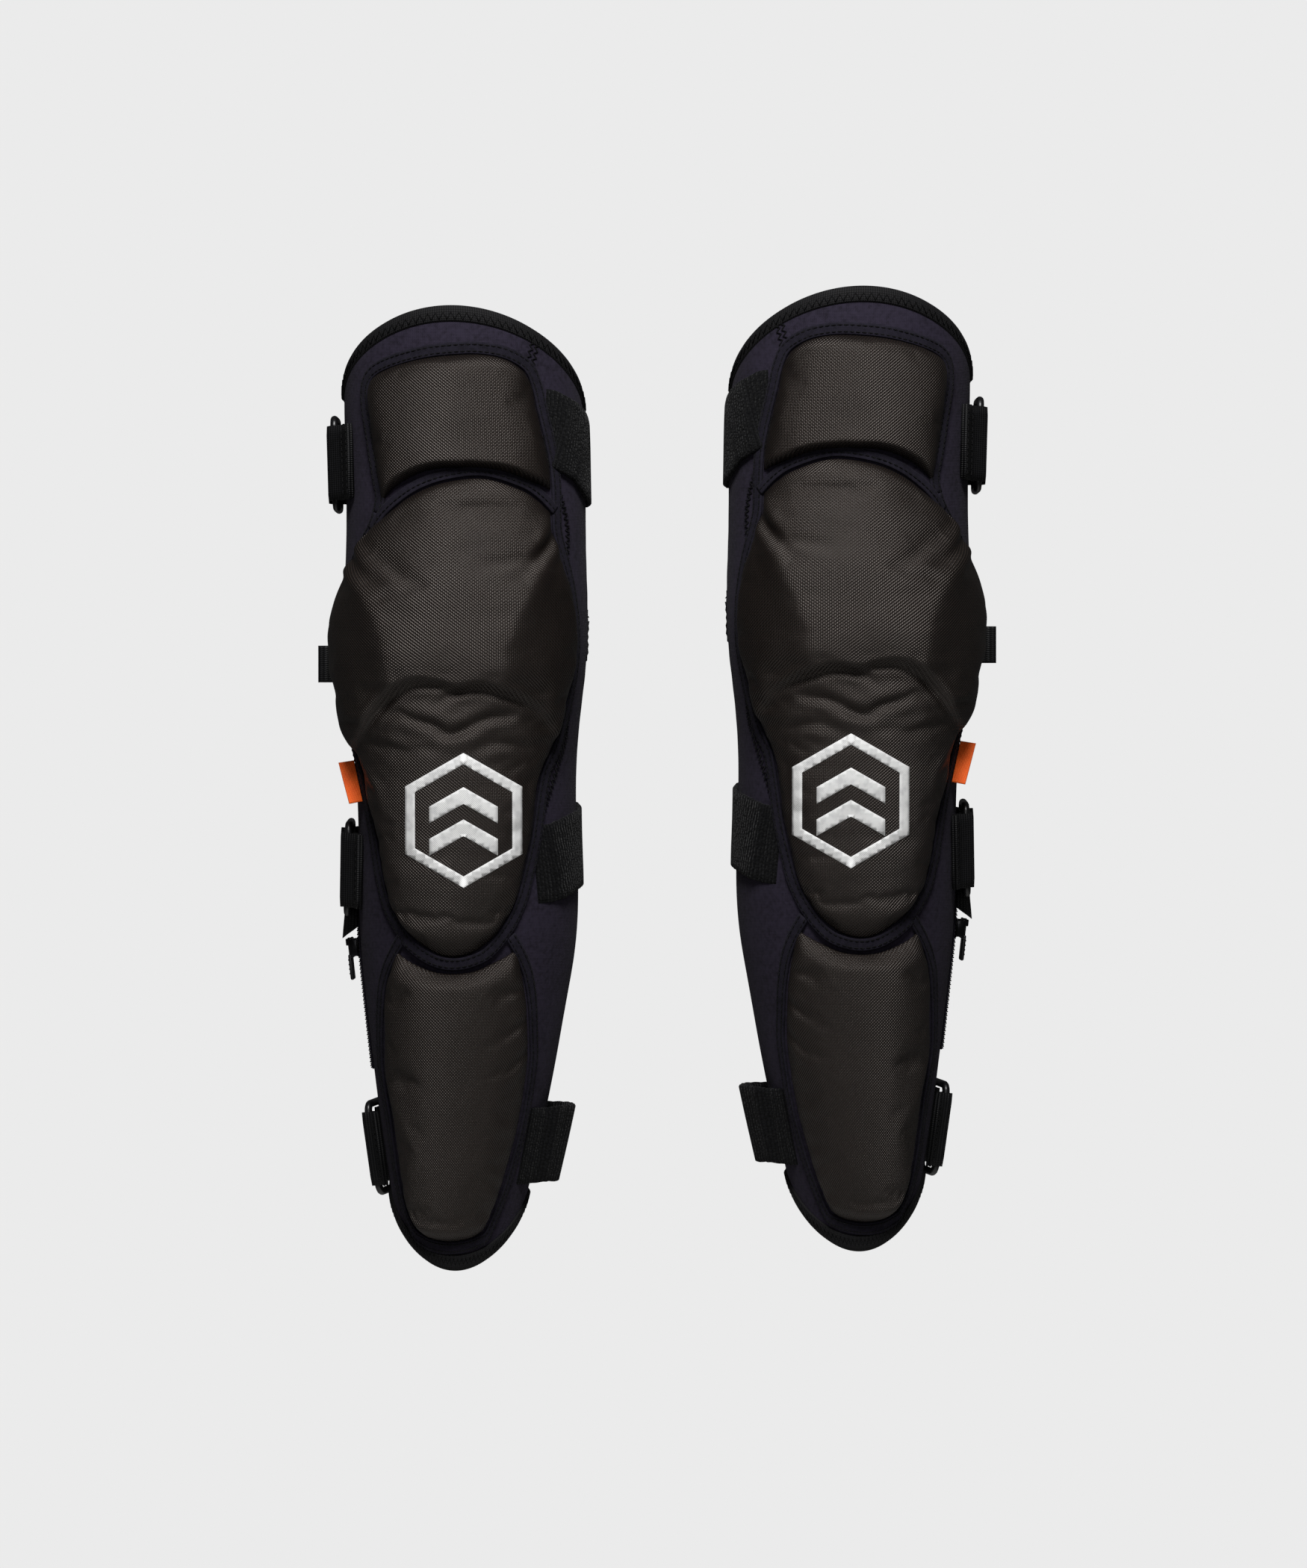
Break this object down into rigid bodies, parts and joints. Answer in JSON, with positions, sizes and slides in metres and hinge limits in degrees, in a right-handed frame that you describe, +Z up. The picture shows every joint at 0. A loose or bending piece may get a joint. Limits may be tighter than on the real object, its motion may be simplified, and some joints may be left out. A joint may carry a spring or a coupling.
{
  "type": "knee and shin guard pair",
  "caption": "Pair of long knee and shin guards: neoprene sleeves with padded twill panels, elastic straps through plastic rings, and a calf zip.",
  "frame": {"origin": "midway between the two knees, on the axis about which they bend, where the wearer holds the pair up", "axes": "+Z up along the legs, -Y towards the front of the pads, +X towards the wearer's left-hand guard as seen from the front"},
  "size_m": [0.3408, 0.147, 0.506],
  "materials": {
    "neoprene": "brushed jersey over neoprene",
    "stretch_knit": "ribbed stretch knit",
    "binding": "folded elastic binding",
    "twill": "abrasion-resistant twill",
    "tape": "flat stitched tape",
    "foam": "soft moulded foam",
    "elastic": "ribbed elastic",
    "webbing": "woven webbing",
    "ring_plastic": "satin moulded plastic",
    "zip": "coil zip on woven tape",
    "zip_metal": "black enamel",
    "zip_pull": "woven pull",
    "label": "satin-woven label",
    "print": "flat white print",
    "thread": "sewing thread"
  },
  "bodies": {
    "left_thigh": {"left_thigh_sleeve": "neoprene", "left_top_cuff": "binding", "left_thigh_foam": "foam", "left_thigh_cover": "twill", "left_thigh_border": "tape", "left_thigh_strap": "elastic", "left_thigh_ring_tab": "webbing", "left_knee_gusset": "stretch_knit"},
    "left_shin": {"left_shin_sleeve": "neoprene", "left_bottom_cuff": "binding", "left_tibia_insert": "foam", "left_tibia_cover": "twill", "left_shin_foam": "foam", "left_shin_cover": "twill", "left_shin_borders": "tape", "left_calf_strap": "elastic", "left_ankle_strap": "elastic", "left_shin_ring_tabs": "webbing", "left_zip_chain": "zip", "left_label": "label"},
    "left_knee_cup": {"left_knee_insert": "foam", "left_knee_cover": "twill"},
    "left_thigh_ring": {"left_thigh_ring": "ring_plastic"},
    "left_calf_ring": {"left_calf_ring": "ring_plastic"},
    "left_ankle_ring": {"left_ankle_ring": "ring_plastic"},
    "left_thigh_tail": {"left_thigh_strap_tail": "elastic"},
    "left_calf_tail": {"left_calf_strap_tail": "elastic"},
    "left_ankle_tail": {"left_ankle_strap_tail": "elastic"},
    "left_zip_slider": {"left_zip_slider": "zip_metal"},
    "left_zip_pull": {"left_zip_pull": "zip_pull"},
    "right_thigh": {"right_thigh_sleeve": "neoprene", "right_top_cuff": "binding", "right_thigh_foam": "foam", "right_thigh_cover": "twill", "right_thigh_border": "tape", "right_thigh_strap": "elastic", "right_thigh_ring_tab": "webbing", "right_knee_gusset": "stretch_knit"},
    "right_shin": {"right_shin_sleeve": "neoprene", "right_bottom_cuff": "binding", "right_tibia_insert": "foam", "right_tibia_cover": "twill", "right_shin_foam": "foam", "right_shin_cover": "twill", "right_shin_borders": "tape", "right_calf_strap": "elastic", "right_ankle_strap": "elastic", "right_shin_ring_tabs": "webbing", "right_zip_chain": "zip", "right_label": "label"},
    "right_knee_cup": {"right_knee_insert": "foam", "right_knee_cover": "twill"},
    "right_thigh_ring": {"right_thigh_ring": "ring_plastic"},
    "right_calf_ring": {"right_calf_ring": "ring_plastic"},
    "right_ankle_ring": {"right_ankle_ring": "ring_plastic"},
    "right_thigh_tail": {"right_thigh_strap_tail": "elastic"},
    "right_calf_tail": {"right_calf_strap_tail": "elastic"},
    "right_ankle_tail": {"right_ankle_strap_tail": "elastic"},
    "right_zip_slider": {"right_zip_slider": "zip_metal"},
    "right_zip_pull": {"right_zip_pull": "zip_pull"}
  },
  "joints": [
    {"name": "left_knee_flex", "type": "hinge", "parent": "left_thigh", "child": "left_shin", "pos_m": [-0.0995, 0, -0.005], "axis": [1, 0, 0], "range_deg": [0, 85], "stiffness_Nm_per_rad": 0.3, "deforming": ["left_knee_gusset"]},
    {"name": "left_knee_cup_turn", "type": "hinge", "parent": "left_shin", "child": "left_knee_cup", "pos_m": [-0.0995, 0, -0.005], "axis": [1, 0, 0], "range_deg": [-42.5, 0]},
    {"name": "left_thigh_ring_swing", "type": "hinge", "parent": "left_thigh", "child": "left_thigh_ring", "pos_m": [-0.16614, -0.00271, 0.08352], "axis": [-0.0299, 0.0489, 0.9984], "range_deg": [0, 30]},
    {"name": "left_thigh_tail_peel", "type": "hinge", "parent": "left_thigh_ring", "child": "left_thigh_tail", "pos_m": [-0.16496, 0.01923, 0.08248], "axis": [-0.0299, 0.0489, 0.9984], "range_deg": [0, 150]},
    {"name": "left_calf_ring_swing", "type": "hinge", "parent": "left_shin", "child": "left_calf_ring", "pos_m": [-0.15967, 0.00225, -0.12608], "axis": [0.0179, -0.0995, 0.9949], "range_deg": [0, 30]},
    {"name": "left_calf_tail_peel", "type": "hinge", "parent": "left_calf_ring", "child": "left_calf_tail", "pos_m": [-0.15848, 0.02411, -0.12392], "axis": [0.0179, -0.0995, 0.9949], "range_deg": [0, 150]},
    {"name": "left_ankle_ring_swing", "type": "hinge", "parent": "left_shin", "child": "left_ankle_ring", "pos_m": [-0.14709, 0.02948, -0.2711], "axis": [-0.138, -0.0586, 0.9887], "range_deg": [0, 30]},
    {"name": "left_ankle_tail_peel", "type": "hinge", "parent": "left_ankle_ring", "child": "left_ankle_tail", "pos_m": [-0.14016, 0.05024, -0.2689], "axis": [-0.138, -0.0586, 0.9887], "range_deg": [0, 150]},
    {"name": "left_zip_slide", "type": "slide", "parent": "left_shin", "child": "left_zip_slider", "axis": [0.1059, 0.0832, -0.9909], "range_m": [0, 0.061]},
    {"name": "left_zip_pull_swing", "type": "hinge", "parent": "left_zip_slider", "child": "left_zip_pull", "pos_m": [-0.15958, 0.02233, -0.1636], "axis": [0.1296, 0.9868, 0.0967], "range_deg": [0, 120]},
    {"name": "right_knee_flex", "type": "hinge", "parent": "right_thigh", "child": "right_shin", "pos_m": [0.0995, 0, 0.005], "axis": [1, 0, 0], "range_deg": [0, 85], "stiffness_Nm_per_rad": 0.3, "deforming": ["right_knee_gusset"]},
    {"name": "right_knee_cup_turn", "type": "hinge", "parent": "right_shin", "child": "right_knee_cup", "pos_m": [0.0995, 0, 0.005], "axis": [1, 0, 0], "range_deg": [-42.5, 0]},
    {"name": "right_thigh_ring_swing", "type": "hinge", "parent": "right_thigh", "child": "right_thigh_ring", "pos_m": [0.16614, -0.00271, 0.09352], "axis": [-0.0299, -0.0489, -0.9984], "range_deg": [0, 30]},
    {"name": "right_thigh_tail_peel", "type": "hinge", "parent": "right_thigh_ring", "child": "right_thigh_tail", "pos_m": [0.16496, 0.01923, 0.09248], "axis": [-0.0299, -0.0489, -0.9984], "range_deg": [0, 150]},
    {"name": "right_calf_ring_swing", "type": "hinge", "parent": "right_shin", "child": "right_calf_ring", "pos_m": [0.15967, 0.00225, -0.11608], "axis": [0.0179, 0.0995, -0.9949], "range_deg": [0, 30]},
    {"name": "right_calf_tail_peel", "type": "hinge", "parent": "right_calf_ring", "child": "right_calf_tail", "pos_m": [0.15848, 0.02411, -0.11392], "axis": [0.0179, 0.0995, -0.9949], "range_deg": [0, 150]},
    {"name": "right_ankle_ring_swing", "type": "hinge", "parent": "right_shin", "child": "right_ankle_ring", "pos_m": [0.14709, 0.02948, -0.2611], "axis": [-0.138, 0.0586, -0.9887], "range_deg": [0, 30]},
    {"name": "right_ankle_tail_peel", "type": "hinge", "parent": "right_ankle_ring", "child": "right_ankle_tail", "pos_m": [0.14016, 0.05024, -0.2589], "axis": [-0.138, 0.0586, -0.9887], "range_deg": [0, 150]},
    {"name": "right_zip_slide", "type": "slide", "parent": "right_shin", "child": "right_zip_slider", "axis": [-0.1059, 0.0832, -0.9909], "range_m": [0, 0.061]},
    {"name": "right_zip_pull_swing", "type": "hinge", "parent": "right_zip_slider", "child": "right_zip_pull", "pos_m": [0.15958, 0.02233, -0.1536], "axis": [0.1296, -0.9868, -0.0967], "range_deg": [0, 120]},
    {"name": "pair_spacing", "type": "slide", "parent": "left_thigh", "child": "right_thigh", "axis": [1, 0, 0], "range_m": [0, 0.1]}
  ],
  "couplings": [
    {"joint": "left_knee_cup_turn", "follows": "left_knee_flex", "ratio": -0.5},
    {"joint": "right_knee_cup_turn", "follows": "right_knee_flex", "ratio": -0.5}
  ]
}
